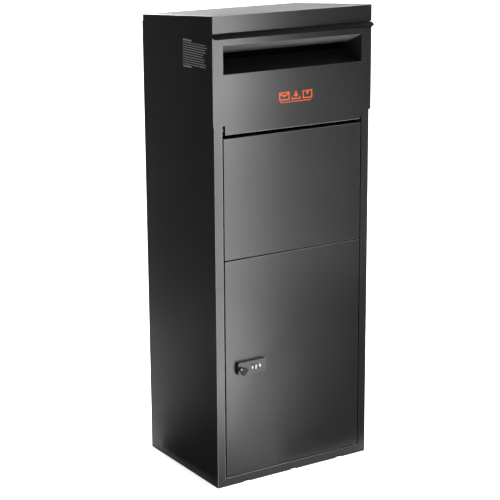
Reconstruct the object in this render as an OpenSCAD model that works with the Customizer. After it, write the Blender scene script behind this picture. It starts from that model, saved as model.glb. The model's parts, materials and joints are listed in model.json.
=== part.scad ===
// Parcel drop box: a tall steel cabinet with a tilting hopper at the top for parcels and letters,
// a fixed panel below it, and a locked collection door at the bottom.
// Units are millimetres. +Z is up, the front faces -Y, and the origin is the middle of the base.

/* [Cabinet] */
// Width across the two side panels
body_w = 404; // [340:1:520]
// Depth from the front frame to the rear panel
body_d = 300; // [270:1:420]
// Height of the front edge of the roof
overall_h = 1045; // [980:1:1250]
// Thickness of the folded steel sheet
sheet = 1.2; // [0.8:0.1:1.5]
// Visible width of the frame beside the doors
stile_w = 20.5; // [18:0.5:30]
// Height of the bottom rail of the front frame
rail_h = 20; // [16:1:40]
// Depth of the folded edges round the frame opening
frame_return = 18; // [16:1:24]
// Running gap round each front panel
panel_gap = 3; // [2.5:0.1:5]

/* [Roof] */
// How far the roof stands out past the sides and the front
roof_overhang = 2.7; // [2.7:0.1:6]
// Height of the roof's front skirt
roof_skirt = 37; // [34:1:60]
// Fall of the roof from front to back
roof_fall = 22; // [5:1:28]
// How far the back of the roof stops short of the rear panel
roof_setback = 7; // [5:0.5:15]

/* [Hopper] */
// Height of the wide part of the hopper front
hopper_h = 194; // [180:1:240]
// Height of the narrow tab under it
tab_h = 19.5; // [14:0.5:30]
// How far the tab is inset from the side of the cabinet
tab_inset = 26.5; // [24.5:0.5:60]
// How far the hopper front stands ahead of the frame
hopper_proud = 2; // [1.6:0.1:4]
// Swing clearance under the tab
swing_gap = 9; // [8:0.5:16]
// Largest forward tilt of the hopper, in degrees
hopper_tilt = 42; // [30:1:45]
// Radius of the hopper's pivot pins
pivot_r = 3; // [2.5:0.5:4]
// How far the pull lip stands out
lip_out = 11; // [8:0.5:16]
// Height of the pull lip
lip_h = 12.5; // [10:0.5:18]

/* [Letter slot] */
// How far each end of the letter slot stands in from the side frame
slot_in = 2.5; // [2.5:0.5:60]
// Height of the letter slot
slot_h = 60.5; // [50:0.5:70]
// Height of the slot's lower edge above the bottom of the wide hopper front
slot_rise = 108; // [100:1:118]
// How far the hood over the slot goes back
hood_back = 51; // [40:1:60]
// How far the hood over the slot drops
hood_drop = 22; // [15:0.5:24]
// How far the sill under the slot goes back
sill_back = 44; // [35:1:55]
// How far the sill under the slot climbs
sill_climb = 26; // [15:0.5:28]

/* [Collection door] */
// Height of the door leaf
door_h = 494; // [420:1:560]
// Radius of the door's hinge pins
hinge_r = 2.5; // [2:0.25:3]
// Distance of the hinge axis from the door's right edge
hinge_in = 6.5; // [6:0.1:7]
// Distance of the hinge axis behind the door's face
hinge_back = 5; // [4.8:0.1:5.4]

/* [Lock] */
// Width of the lock body
lock_w = 72; // [68:1:90]
// Height of the lock body
lock_h = 28.5; // [28:0.5:36]
// How far the lock body stands out of the door
lock_out = 9; // [7:0.5:9.5]
// Height of the lock above the floor
lock_z = 271.5; // [200:0.5:380]
// Distance of the lock's left end from the side of the cabinet
lock_in = 50; // [48:1:60]
// Radius of the number wheels
wheel_r = 10.5; // [10:0.1:11]
// Thickness of each number wheel
wheel_t = 6; // [5:0.1:6.4]
// Distance between number wheels
wheel_pitch = 9.5; // [8.8:0.1:10]
// Length of the locking cam from its spindle
cam_len = 47; // [45:1:49]

/* [Clearances] */
// Radial clearance of every running pin
run = 0.06; // [0.03:0.01:0.1]
// Gap between flat faces that slide past each other
slip = 0.3; // [0.2:0.05:0.4]

/* [Hidden] */
$fn = 48;

// Colours
powder_coat = "#3a3c3f";
zinc = "#a9adb1";
black_plastic = "#17181a";
rubber_black = "#202022";
nylon_black = "#1b1b1c";

// Frame
side_x = body_w / 2;
front_y = -body_d / 2;
rear_y = body_d / 2;
stile_x = side_x - stile_w;
skin_y = front_y + sheet;
return_y = front_y + frame_return;
leaf_x = stile_x - panel_gap;
inner_x = side_x - sheet;
inner_rear_y = rear_y - sheet;
flange_w = 15;
upstand = 16;
notch_pitch = (body_w - 26) / 3;
fixing_x = side_x - 9;
anchor_x = 130;
anchor_y = 85;
wall_hole_x = 120;
wall_hole_z = [300, 900];

// Roof
roof_x = side_x + roof_overhang;
roof_front_y = front_y - roof_overhang;
roof_back_y = rear_y - roof_setback;
skirt_z = overall_h - roof_skirt;
roof_back_z = overall_h - roof_fall;
body_top_z = skirt_z + 6;
roof_slope = roof_fall / (roof_back_y - roof_front_y);
roof_screw_y = 80;
roof_screw_r = 2.5;
rivet_r = 1.6;

// Hopper
seam = 1;
hopper_top_z = skirt_z - seam;
hopper_z = hopper_top_z - hopper_h;
tab_z = hopper_z - tab_h;
tab_x = side_x - tab_inset;
hopper_y = front_y - hopper_proud;
hopper_skin_y = hopper_y + sheet;
pivot_y = front_y + 7;
pivot_z = tab_z + 10;
wing_x = stile_x - 1;
wing_in_x = wing_x - sheet;
slot_x = stile_x - slot_in;
slot_z = hopper_z + slot_rise;
slot_top_z = slot_z + slot_h;
weld_leg = 12;
tray_z = hopper_z + 4;
tray_back_y = pivot_y + 104;
tray_drop = 44;
guard_y = pivot_y + 110;
guard_lean = 17;
guard_low_z = pivot_z + 60;
guard_high_z = pivot_z + 162;
stop_r = 3;
stop_arm = 60;

// Panels
panel_top_z = tab_z - swing_gap;
door_z = rail_h + panel_gap;
door_top_z = door_z + door_h;
panel_z = door_top_z + panel_gap;
panel_return = 15;
door_return = frame_return - 1;

// Hinges
hinge_x = leaf_x - hinge_in;
hinge_y = front_y + hinge_back;
bracket_h = 34;
bracket_w = 26;
bracket_foot = 4;
hinge_block = 10;

// Lock
lock_x = -side_x + lock_in;
lock_right_x = lock_x + lock_w;
lock_y = front_y - lock_out;
lock_rear_y = front_y + 13;
turn_x = lock_x + 6;
wheel_x = [for (i = [0:2]) lock_right_x - 17 - (2 - i) * wheel_pitch];
boss_x = wheel_x[0] - 7;
wheel_y = front_y;
wheel_room = 0.5;
axle_r = 1.5;
spindle_r = 4;
turn_hub_r = 5.4;
cam_t = 3;
cam_y = return_y + 0.6;

// An outline drawn in Y and Z, stretched between two places along X
module along_x(x0, x1) { translate([x0, 0, 0]) rotate([90, 0, 90]) linear_extrude(x1 - x0) children(); }

// An outline drawn in X and Z, stretched between two places along Y
module along_y(y0, y1) { translate([0, y1, 0]) rotate([90, 0, 0]) linear_extrude(y1 - y0) children(); }

// A box between two corners
module box(low, high) { translate(low) cube(high - low); }

// A round bar along X, Y or Z between two places
module bar_x(r, x0, x1, y, z) { translate([x0, y, z]) rotate([0, 90, 0]) cylinder(r = r, h = x1 - x0); }
module bar_y(r, y0, y1, x, z) { translate([x, y0, z]) rotate([-90, 0, 0]) cylinder(r = r, h = y1 - y0); }
module bar_z(r, z0, z1, x, y) { translate([x, y, z0]) cylinder(r = r, h = z1 - z0); }

// The same thing on both sides
module both_sides() { children(); mirror([1, 0, 0]) children(); }

// A sheet strip folded from a list of Y and Z points, its thickness added above or behind
module strip(points, x) { along_x(-x, x) polygon(points); }

// ---- Cabinet ----

// Notch through the lower edge of the front frame and the pan's front upstand, with sloping sides
module base_notch(x) {
    top_half = 4;
    foot_half = 9;
    notch_h = 6;
    along_y(front_y - 1, skin_y + sheet + 1)
        polygon([[x - foot_half, -1], [x - top_half, notch_h], [x + top_half, notch_h], [x + foot_half, -1]]);
}

module front_frame() {
    color(powder_coat) difference() {
        union() {
            difference() {
                box([-side_x, front_y, 0], [side_x, skin_y, body_top_z]);
                box([-stile_x, front_y - 1, rail_h], [stile_x, skin_y + 1, body_top_z + 1]);
            }
            both_sides() box([stile_x, skin_y, rail_h], [stile_x + sheet, return_y, body_top_z]);
            box([-stile_x - sheet, skin_y, rail_h - sheet], [stile_x + sheet, return_y, rail_h]);
        }
        for (i = [-1:1]) base_notch(i * notch_pitch);
        both_sides() bar_x(pivot_r + 2 + run, stile_x - 1, stile_x + sheet + 1, pivot_y, pivot_z);
        both_sides() bar_x(stop_r + run, stile_x - 1, stile_x + sheet + 1, pivot_y, pivot_z + stop_arm);
        bar_z(hinge_r + 1, rail_h - sheet - 1, rail_h + 1, hinge_x, hinge_y);
    }
}

// Flat side with a flange folded in at the top for the roof and one at the back for the rear panel
module side_panel() {
    color(powder_coat) difference() {
        union() {
            box([inner_x, skin_y, 0], [side_x, rear_y, skirt_z]);
            box([inner_x, skin_y, skirt_z], [side_x, roof_back_y - sheet - slip, body_top_z]);
            box([side_x - flange_w, return_y, body_top_z - sheet],
                [inner_x, roof_back_y - sheet - slip, body_top_z]);
            box([side_x - flange_w, inner_rear_y - sheet, upstand + slip],
                [inner_x, inner_rear_y, skirt_z - sheet * 2]);
        }
        for (y = [-1, 1] * roof_screw_y) bar_z(roof_screw_r + run, body_top_z - 5, body_top_z + 5, fixing_x, y);
        for (z = rivet_heights()) bar_y(rivet_r + run, inner_rear_y - 5, rear_y, fixing_x, z);
    }
}

module left_side_panel() { mirror([1, 0, 0]) side_panel(); }
module right_side_panel() { side_panel(); }

// Rivets up the back, the same on both sides
function rivet_heights() = [for (i = [0:4]) 60 + i * (skirt_z - 120) / 4];

module rear_panel() {
    wall_hole_r = 4.5;
    color(powder_coat) difference() {
        union() {
            box([-inner_x, inner_rear_y, 0], [inner_x, rear_y, skirt_z]);
            box([-inner_x, inner_rear_y - 20, skirt_z - sheet], [inner_x, inner_rear_y, skirt_z]);
        }
        for (x = [-1, 1] * wall_hole_x, z = wall_hole_z) bar_y(wall_hole_r, inner_rear_y - 1, rear_y + 1, x, z);
        both_sides() for (z = rivet_heights()) bar_y(rivet_r + run, inner_rear_y - 1, rear_y + 1, fixing_x, z);
    }
}

module rear_rivets() {
    color(powder_coat) both_sides() for (z = rivet_heights()) {
        bar_y(rivet_r, inner_rear_y - sheet, rear_y, fixing_x, z);
        bar_y(rivet_r * 2, rear_y, rear_y + 0.9, fixing_x, z);
        bar_y(rivet_r + 0.6, inner_rear_y - sheet - 1.2, inner_rear_y - sheet, fixing_x, z);
    }
}

// Floor pan on the ground, with upstands welded to the frame, the sides and the rear panel
module base_pan() {
    anchor_r = 5.5;
    color(powder_coat) difference() {
        box([-inner_x, skin_y, 0], [inner_x, inner_rear_y, upstand]);
        box([-inner_x + sheet, skin_y + sheet, sheet], [inner_x - sheet, inner_rear_y - sheet, upstand + 1]);
        for (x = [-1, 1] * anchor_x, y = [-1, 1] * anchor_y) bar_z(anchor_r, -1, sheet + 1, x, y);
        for (i = [-1:1]) base_notch(i * notch_pitch);
    }
}

module floor_mat() {
    mat_t = 3;
    edge = 6;
    anchor_room_r = 14;
    color(rubber_black) difference() {
        box([-inner_x + edge, return_y + edge, sheet], [inner_x - edge, inner_rear_y - edge, sheet + mat_t]);
        for (x = [-1, 1] * anchor_x, y = [-1, 1] * anchor_y)
            bar_z(anchor_room_r, 0, sheet + mat_t + 1, x, y);
    }
}

// ---- Roof ----

module roof_outline(inset, low) {
    front = roof_front_y + inset;
    back = roof_back_y - inset;
    polygon([[front, overall_h - inset - inset * roof_slope], [back, roof_back_z - inset + inset * roof_slope],
        [back, low], [front, low]]);
}

module roof_lid() {
    color(powder_coat) difference() {
        along_x(-roof_x, roof_x) roof_outline(0, skirt_z);
        along_x(-roof_x + sheet, roof_x - sheet) roof_outline(sheet, skirt_z - 1);
    }
}

// Angles welded inside the roof, which rest on the top flanges of the sides
module roof_brackets() {
    bracket_t = 1.5;
    half_length = 100;
    color(zinc) both_sides() difference() {
        union() {
            box([side_x - flange_w, -half_length, body_top_z], [roof_x - sheet, half_length, body_top_z + bracket_t]);
            box([roof_x - sheet * 2, -half_length, body_top_z], [roof_x - sheet, half_length, body_top_z + 4]);
        }
        for (y = [-1, 1] * roof_screw_y) bar_z(roof_screw_r + run, body_top_z - 1, body_top_z + 5, fixing_x, y);
    }
}

module roof_screws() {
    head_r = 4.5;
    nut_r = 4;
    color(zinc) both_sides() for (y = [-1, 1] * roof_screw_y) {
        bar_z(roof_screw_r, body_top_z - sheet - 0.5, body_top_z + 5, fixing_x, y);
        bar_z(head_r, body_top_z - sheet - 3.5, body_top_z - sheet, fixing_x, y);
        bar_z(nut_r, body_top_z + 1.5, body_top_z + 4.5, fixing_x, y);
    }
}

// Channel across the top of the opening, behind the front skirt of the roof
module header_rail() {
    rail_z = skirt_z + 1;
    color(powder_coat) {
        box([-stile_x, skin_y, rail_z], [stile_x, skin_y + sheet, overall_h - 24]);
        box([-stile_x, skin_y + sheet, rail_z], [stile_x, skin_y + 22, rail_z + sheet]);
    }
}

// ---- Fixed panel and rails ----

// Corner cut out of the folds of the fixed panel, where the hinge bracket passes
module hinge_corner() {
    box([leaf_x + panel_gap - bracket_w - 0.5, skin_y, panel_z - 1],
        [stile_x, front_y + panel_return + 1, panel_z + bracket_foot + 0.5]);
}

module centre_panel() {
    color(powder_coat) difference() {
        box([-leaf_x, front_y, panel_z], [leaf_x, front_y + panel_return, panel_top_z]);
        box([-leaf_x + sheet, skin_y, panel_z + sheet], [leaf_x - sheet, front_y + panel_return + 1, panel_top_z - sheet]);
        hinge_corner();
    }
}

// Cross channel inside the fixed panel, from the left return of the frame to the hinge bracket
module mid_rail() {
    low = panel_z + sheet;
    left = -leaf_x + sheet;
    right = stile_x - bracket_w;
    deep = skin_y + 20;
    color(powder_coat) {
        box([left, skin_y, low], [right - 1, skin_y + sheet, low + 28]);
        box([left, skin_y + sheet, low + 28 - sheet], [right - 1, deep, low + 28]);
        box([-stile_x, deep, low], [right, deep + sheet, low + 28]);
    }
}

module top_hinge_bracket() {
    left = stile_x - bracket_w;
    deep = skin_y + 20;
    cheek = panel_gap - slip;
    color(powder_coat) difference() {
        union() {
            box([left, skin_y, panel_z], [leaf_x - 0.2, deep + sheet, panel_z + bracket_foot]);
            box([stile_x - cheek, front_y + 0.6, panel_z], [stile_x, deep + sheet, panel_z + bracket_h]);
            box([left, deep, panel_z], [stile_x, deep + sheet, panel_z + bracket_h]);
            box([leaf_x - 0.2, skin_y, panel_z], [stile_x - cheek, deep + sheet, panel_z + bracket_foot]);
        }
        bar_z(hinge_r + run, panel_z - 1, panel_z + bracket_foot + 1, hinge_x, hinge_y);
    }
}

module bottom_hinge_bracket() {
    left = stile_x - bracket_w;
    top = rail_h - sheet;
    color(powder_coat) difference() {
        box([left, skin_y, top - bracket_foot], [stile_x, skin_y + 16, top]);
        bar_z(hinge_r + run, top - bracket_foot - 1, top + 1, hinge_x, hinge_y);
        box([left - 1, skin_y - 1, top - bracket_foot - 1], [stile_x + 1, skin_y + sheet + slip, 16 + slip]);
    }
}

module hinge_washer() {
    color(nylon_black) difference() {
        bar_z(hinge_r + 2.4, rail_h, door_z - 0.1, hinge_x, hinge_y + 0.4);
        bar_z(hinge_r + run, rail_h - 1, door_z + 1, hinge_x, hinge_y);
    }
}

// Plate on the inner side of the left frame return, which the cam turns behind
module latch_keeper() {
    half_h = 24;
    screw_z = 16;
    screw_r = 1.6;
    color(zinc) difference() {
        box([-stile_x - sheet - 3, skin_y + 3, lock_z - half_h], [-stile_x - sheet, return_y, lock_z + half_h]);
        for (z = [-1, 1] * screw_z) bar_x(screw_r, -stile_x - sheet - 4, -stile_x, skin_y + 9, lock_z + z);
    }
}

// Strips on the left return that stop the door, above and below the cam
module door_stop_strips() {
    lip = 9;
    cam_room_below = 75;
    cam_room_above = 45;
    low = 60;
    high = panel_z - 40;
    color(powder_coat) for (z = [[low, lock_z - cam_room_below], [lock_z + cam_room_above, high]]) {
        box([-stile_x - sheet, return_y, z[0]], [-stile_x + lip, return_y + 2, z[1]]);
        box([-stile_x - sheet - 1.5, return_y - 10, z[0]], [-stile_x - sheet, return_y + 2, z[1]]);
    }
}

// Rubber dots on the stop strips, which the door's left edge closes against
module door_buffers() {
    buffer_r = 2.4;
    low = 110;
    high = panel_z - 70;
    color(rubber_black) for (z = [low, high])
        bar_y(buffer_r, front_y + door_return + slip, return_y, -leaf_x, z);
}

// Sloping sheet under the hopper that keeps hands out of the parcel space
module anti_reach_baffle() {
    top = panel_top_z + 20;
    reach = 62;
    fall = 40;
    color(powder_coat) strip([[inner_rear_y - sheet, top + 24], [inner_rear_y - sheet * 2, top + 24],
        [inner_rear_y - sheet * 2, top], [inner_rear_y - reach, top - fall],
        [inner_rear_y - reach, top - fall - sheet * 1.2], [inner_rear_y - sheet, top - sheet]], side_x - flange_w);
}

// ---- Hopper ----

module hopper_front() {
    color(powder_coat) difference() {
        union() {
            box([-roof_x, hopper_y, hopper_z], [roof_x, hopper_skin_y, hopper_top_z]);
            box([-tab_x, hopper_y, tab_z], [tab_x, hopper_skin_y, hopper_z]);
            box([-tab_x, hopper_skin_y, tab_z], [tab_x, pivot_y - 1, tab_z + sheet]);
            box([-leaf_x, hopper_skin_y, hopper_top_z - sheet], [leaf_x, hopper_skin_y + 12, hopper_top_z]);
        }
        box([-slot_x, hopper_y - 1, slot_z], [slot_x, hopper_skin_y + 1, slot_top_z]);
    }
}

// V-folded strip along the top edge, with its lower leg mitred at the left end
module pull_lip() {
    crest_z = hopper_top_z - lip_h * 0.46;
    low_z = hopper_top_z - lip_h;
    wall = sheet * 1.3;
    crest_y = hopper_y - lip_out;
    color(powder_coat) difference() {
        along_x(-roof_x, roof_x) polygon([[hopper_y, hopper_top_z], [crest_y, crest_z], [hopper_y, low_z],
            [hopper_y, low_z + wall], [crest_y + wall * 1.6, crest_z], [hopper_y, hopper_top_z - wall]]);
        translate([0, 0, low_z]) along_y(crest_y - 1, hopper_y + 1)
            polygon([[-roof_x - 1, -1], [-roof_x - 1, lip_h * 0.5], [-roof_x, lip_h * 0.5], [-roof_x + 8, -1]]);
    }
}

module slot_hood() {
    back = hopper_skin_y + hood_back;
    low = slot_top_z - hood_drop;
    color(powder_coat) strip([[hopper_skin_y, slot_top_z], [back, low], [back, low + sheet * 1.1],
        [hopper_skin_y + sheet, slot_top_z + sheet * 0.6], [hopper_skin_y + sheet, slot_top_z + weld_leg],
        [hopper_skin_y, slot_top_z + weld_leg]], wing_in_x);
}

module slot_sill() {
    back = hopper_skin_y + sill_back;
    high = slot_z + sill_climb;
    color(powder_coat) strip([[hopper_skin_y, slot_z], [back, high], [back, high - sheet * 1.15],
        [hopper_skin_y + sheet, slot_z - sheet * 0.5], [hopper_skin_y + sheet, slot_z - weld_leg],
        [hopper_skin_y, slot_z - weld_leg]], wing_in_x);
}

// Curved slot in the wing that the stop pin runs in, centred on the pivot
module stop_slot() {
    half = stop_r + slip;
    difference() {
        circle(r = stop_arm + half);
        circle(r = stop_arm - half);
        polygon([[0, 0], [0, 200], [-200, 200], [-200, -200], [200, -200], [200, 0],
            [200 * sin(hopper_tilt), 200 * cos(hopper_tilt)]]);
    }
    for (a = [90, 90 - hopper_tilt]) rotate(a) translate([stop_arm, 0]) circle(r = half);
}

module wing_outline() {
    front = hopper_skin_y - pivot_y;
    difference() {
        polygon([[front, hopper_z - pivot_z + 1], [-5.5, hopper_z - pivot_z + 1], [-5.5, -5], [0, -9], [8, -10],
            [tray_back_y - pivot_y, tray_z - tray_drop - pivot_z - 6],
            [guard_y - pivot_y + sheet, tray_z - tray_drop - pivot_z + 2],
            [guard_y - pivot_y + sheet, guard_low_z - pivot_z],
            [guard_y - pivot_y - guard_lean + sheet, guard_high_z - pivot_z], [front, hopper_top_z - pivot_z - 10]]);
        circle(r = pivot_r + run);
        stop_slot();
    }
}

module hopper_wing() {
    color(powder_coat) along_x(wing_in_x, wing_x) translate([pivot_y, pivot_z]) wing_outline();
}

module hopper_left_wing() { mirror([1, 0, 0]) hopper_wing(); }
module hopper_right_wing() { hopper_wing(); }

module hopper_tray() {
    start = hopper_skin_y + sheet;
    color(powder_coat) strip([[hopper_skin_y, tray_z], [hopper_skin_y, tray_z + weld_leg],
        [start, tray_z + weld_leg], [start, tray_z + sheet], [tray_back_y, tray_z - tray_drop + sheet],
        [tray_back_y, tray_z - tray_drop]], wing_in_x);
}

module hopper_back_guard() {
    color(powder_coat) strip([[guard_y, guard_low_z], [guard_y - guard_lean, guard_high_z],
        [guard_y - guard_lean + sheet, guard_high_z], [guard_y + sheet, guard_low_z]], wing_in_x);
}

module hopper_pivot_pins() {
    color(zinc) both_sides() {
        bar_x(pivot_r, wing_in_x, stile_x + 8, pivot_y, pivot_z);
        bar_x(pivot_r + 2.5, wing_in_x - 2, wing_in_x, pivot_y, pivot_z);
    }
}

module pivot_clips() {
    color(zinc) both_sides() difference() {
        bar_x(pivot_r + 2.5, stile_x + 5.5, stile_x + 6.7, pivot_y, pivot_z);
        bar_x(pivot_r + run, stile_x + 5, stile_x + 7, pivot_y, pivot_z);
    }
}

module pivot_bushes() {
    color(nylon_black) both_sides() difference() {
        union() {
            bar_x(pivot_r + 2, stile_x - 0.7, stile_x + 5, pivot_y, pivot_z);
            bar_x(pivot_r + 3, stile_x - 0.7, stile_x, pivot_y, pivot_z);
        }
        bar_x(pivot_r + run, stile_x - 1, stile_x + 6, pivot_y, pivot_z);
    }
}

module hopper_stop_pins() {
    color(zinc) both_sides() {
        bar_x(stop_r, wing_in_x - 2.4, stile_x + sheet, pivot_y, pivot_z + stop_arm);
        bar_x(stop_r + 1.6, stile_x + sheet, stile_x + sheet + 1.6, pivot_y, pivot_z + stop_arm);
        bar_x(stop_r + 1.8, wing_in_x - 2.4, wing_in_x - 0.4, pivot_y, pivot_z + stop_arm);
    }
}

module hopper_buffers() {
    buffer_r = 5;
    low = hopper_z + 40;
    high = hopper_top_z - 30;
    color(rubber_black) both_sides() for (z = [low, high])
        bar_y(buffer_r, hopper_skin_y, front_y - 0.2, side_x - stile_w / 2, z);
}

// ---- Collection door ----

module door_panel() {
    color(powder_coat) difference() {
        box([-leaf_x, front_y, door_z], [leaf_x, front_y + door_return, door_top_z]);
        box([-leaf_x + sheet, skin_y, door_z + sheet],
            [leaf_x - sheet, front_y + door_return + 1, door_top_z - sheet]);
        bar_y(spindle_r + 1.6, front_y - 1, skin_y + 1, turn_x, lock_z);
        box([boss_x - 2, front_y - 1, lock_z - 12], [lock_right_x - 2.5, skin_y + 1, lock_z + 12]);
        for (z = [door_z, door_top_z]) bar_z(hinge_r + run, z - 3, z + 3, hinge_x, hinge_y);
    }
}

module door_stiffener() {
    middle_x = 40;
    top_half = 15;
    foot_half = 30;
    deep = 12;
    color(powder_coat) translate([middle_x, 0, door_z + 40]) linear_extrude(door_h - 80)
        polygon([[-foot_half, skin_y], [-top_half - sheet, skin_y], [-top_half, skin_y + deep - sheet],
            [top_half, skin_y + deep - sheet], [top_half + sheet, skin_y], [foot_half, skin_y],
            [foot_half, skin_y + sheet], [top_half + sheet * 2, skin_y + sheet], [top_half + sheet, skin_y + deep],
            [-top_half - sheet, skin_y + deep], [-top_half - sheet * 2, skin_y + sheet],
            [-foot_half, skin_y + sheet]]);
}

// Blocks inside the door's corners that carry the hinge pins
module door_hinge_blocks() {
    left = hinge_x - 8;
    color(zinc) for (z = [door_z + sheet, door_top_z - sheet - hinge_block]) difference() {
        box([left, skin_y, z], [leaf_x - sheet, skin_y + 10, z + hinge_block]);
        bar_z(hinge_r + run, z - 1, z + hinge_block + 1, hinge_x, hinge_y);
    }
}

module hinge_pins() {
    color(zinc) {
        bar_z(hinge_r, door_top_z - sheet - hinge_block, panel_z + bracket_foot - 0.5, hinge_x, hinge_y);
        bar_z(hinge_r, rail_h - sheet - bracket_foot + 0.5, door_z + sheet + hinge_block, hinge_x, hinge_y);
    }
}

// ---- Combination lock ----

// A plate with round corners, standing in X and Z
module round_plate(x0, x1, z0, z1, r, y0, y1) {
    box([x0 + r, y0, z0], [x1 - r, y1, z1]);
    box([x0, y0, z0 + r], [x1, y1, z1 - r]);
    for (x = [x0 + r, x1 - r], z = [z0 + r, z1 - r]) bar_y(r, y0, y1, x, z);
}

module lock_body() {
    half = lock_h / 2;
    color(black_plastic) difference() {
        union() {
            round_plate(lock_x, lock_right_x, lock_z - half, lock_z + half, 3, lock_y, front_y);
            box([boss_x, front_y - 1, lock_z - 11.8], [lock_right_x - 4.5, lock_rear_y, lock_z + 11.8]);
            bar_y(spindle_r + 1.5, front_y - 1, lock_rear_y, turn_x, lock_z);
        }
        for (x = wheel_x) bar_x(wheel_r + wheel_room, x - wheel_t / 2 - slip, x + wheel_t / 2 + slip, wheel_y, lock_z);
        bar_x(axle_r + run, boss_x - 1, lock_right_x - 5, wheel_y, lock_z);
        bar_y(spindle_r + run, lock_y - 1, lock_rear_y + 1, turn_x, lock_z);
        bar_y(turn_hub_r + 0.3, lock_y - 1, lock_y + 1.2, turn_x, lock_z);
    }
}

module wheel_axle() {
    color(zinc) bar_x(axle_r, wheel_x[0] - 6.5, lock_right_x - 5.2, wheel_y, lock_z);
}

module number_wheel(i) {
    faces = 10;
    color(black_plastic) difference() {
        bar_x(wheel_r, wheel_x[i] - wheel_t / 2, wheel_x[i] + wheel_t / 2, wheel_y, lock_z);
        bar_x(axle_r + run, wheel_x[i] - wheel_t, wheel_x[i] + wheel_t, wheel_y, lock_z);
        for (n = [0:faces - 1]) {
            a = (n + 0.5) * 360 / faces;
            bar_x(0.9, wheel_x[i] - wheel_t, wheel_x[i] + wheel_t,
                wheel_y - (wheel_r + 0.3) * cos(a), lock_z + (wheel_r + 0.3) * sin(a));
        }
    }
}

module number_wheel_1() { number_wheel(0); }
module number_wheel_2() { number_wheel(1); }
module number_wheel_3() { number_wheel(2); }

// Plate inside the door that clamps the lock, with two screws into the lock body
module lock_back_plate() {
    plate_t = 2;
    color(zinc) difference() {
        box([lock_x - 4, lock_rear_y, lock_z - 13], [lock_right_x - 1, lock_rear_y + plate_t, lock_z + 13]);
        bar_y(spindle_r + 1, lock_rear_y - 1, lock_rear_y + plate_t + 1, turn_x, lock_z);
        for (x = screw_places()) bar_y(1.5 + run, lock_rear_y - 1, lock_rear_y + plate_t + 1, x, lock_z - 8);
    }
}
function screw_places() = [turn_x + 12, lock_right_x - 20];

module lock_screws() {
    color(zinc) for (x = screw_places()) {
        bar_y(1.5, lock_rear_y, lock_rear_y + 2.1, x, lock_z - 8);
        bar_y(2.8, lock_rear_y + 2, lock_rear_y + 3.6, x, lock_z - 8);
    }
}

// Round hub with a flared lever that points down to the right at rest
module thumb_turn() {
    reach = 17;
    aim = -35;
    near = lock_y + 1;
    color(black_plastic) difference() {
        union() {
            bar_y(turn_hub_r, near - 5, near, turn_x, lock_z);
            translate([turn_x, 0, lock_z]) rotate([0, -aim, 0]) along_y(near - 5, near - 1.6)
                polygon([[0, -4.8], [reach - 4, -9], [reach, -7.5], [reach, 7.5], [reach - 4, 9], [0, 4.8]]);
        }
        bar_y(spindle_r * 0.75 + run, near - 4, near + 1, turn_x, lock_z);
    }
}

module lock_spindle() {
    near = lock_y + 1;
    color(zinc) {
        bar_y(spindle_r * 0.75, near - 4, near + 0.5, turn_x, lock_z);
        bar_y(spindle_r, near + 0.5, cam_y, turn_x, lock_z);
        bar_y(spindle_r * 0.75, cam_y, cam_y + cam_t + 5, turn_x, lock_z);
    }
}

// Flat cam that hangs down when the lock is open and swings behind the frame when it is shut
module lock_cam() {
    half_w = 8;
    color(zinc) difference() {
        union() {
            bar_y(half_w, cam_y, cam_y + cam_t, turn_x, lock_z);
            box([turn_x - half_w, cam_y, lock_z - cam_len], [turn_x + half_w, cam_y + cam_t, lock_z]);
        }
        bar_y(spindle_r * 0.75 + run, cam_y - 1, cam_y + cam_t + 1, turn_x, lock_z);
    }
}

module cam_nut() {
    color(zinc) difference() {
        translate([turn_x, cam_y + cam_t, lock_z]) rotate([-90, 0, 0]) cylinder(r = 6, h = 4, $fn = 6);
        bar_y(spindle_r * 0.75 + run, cam_y + cam_t - 1, cam_y + cam_t + 6, turn_x, lock_z);
    }
}

front_frame();
left_side_panel();
right_side_panel();
rear_panel();
base_pan();
roof_lid();
roof_brackets();
roof_screws();
header_rail();
centre_panel();
mid_rail();
top_hinge_bracket();
bottom_hinge_bracket();
hinge_washer();
latch_keeper();
door_stop_strips();
door_buffers();
anti_reach_baffle();
floor_mat();
pivot_bushes();
hopper_stop_pins();
rear_rivets();
hopper_front();
pull_lip();
slot_hood();
slot_sill();
hopper_left_wing();
hopper_right_wing();
hopper_tray();
hopper_back_guard();
hopper_pivot_pins();
pivot_clips();
hopper_buffers();
door_panel();
door_stiffener();
hinge_pins();
door_hinge_blocks();
lock_body();
lock_back_plate();
lock_screws();
wheel_axle();
thumb_turn();
lock_spindle();
lock_cam();
cam_nut();
number_wheel_1();
number_wheel_2();
number_wheel_3();
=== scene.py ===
"""Parcel drop box: the looks of a tall powder-coated steel cabinet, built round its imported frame."""

import json
import math
import random

import bmesh
import bpy
from bpy.props import FloatProperty, IntProperty, PointerProperty, StringProperty
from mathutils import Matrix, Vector


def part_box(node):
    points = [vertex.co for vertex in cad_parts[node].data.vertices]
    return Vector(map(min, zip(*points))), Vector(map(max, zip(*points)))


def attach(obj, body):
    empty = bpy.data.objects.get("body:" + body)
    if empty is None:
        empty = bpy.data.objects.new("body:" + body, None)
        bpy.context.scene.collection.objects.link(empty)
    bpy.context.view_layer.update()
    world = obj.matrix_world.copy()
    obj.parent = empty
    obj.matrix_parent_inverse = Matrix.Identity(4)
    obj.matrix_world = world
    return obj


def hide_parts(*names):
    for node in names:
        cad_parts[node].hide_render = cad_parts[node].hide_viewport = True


bl_info = {
    "name": "Parcel drop box",
    "version": (1, 0, 0),
    "blender": (4, 5, 0),
    "location": "View3D > Sidebar > Drop box",
    "description": "Builds the visible pieces and finishes of a steel parcel drop box",
    "category": "Object",
}

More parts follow.
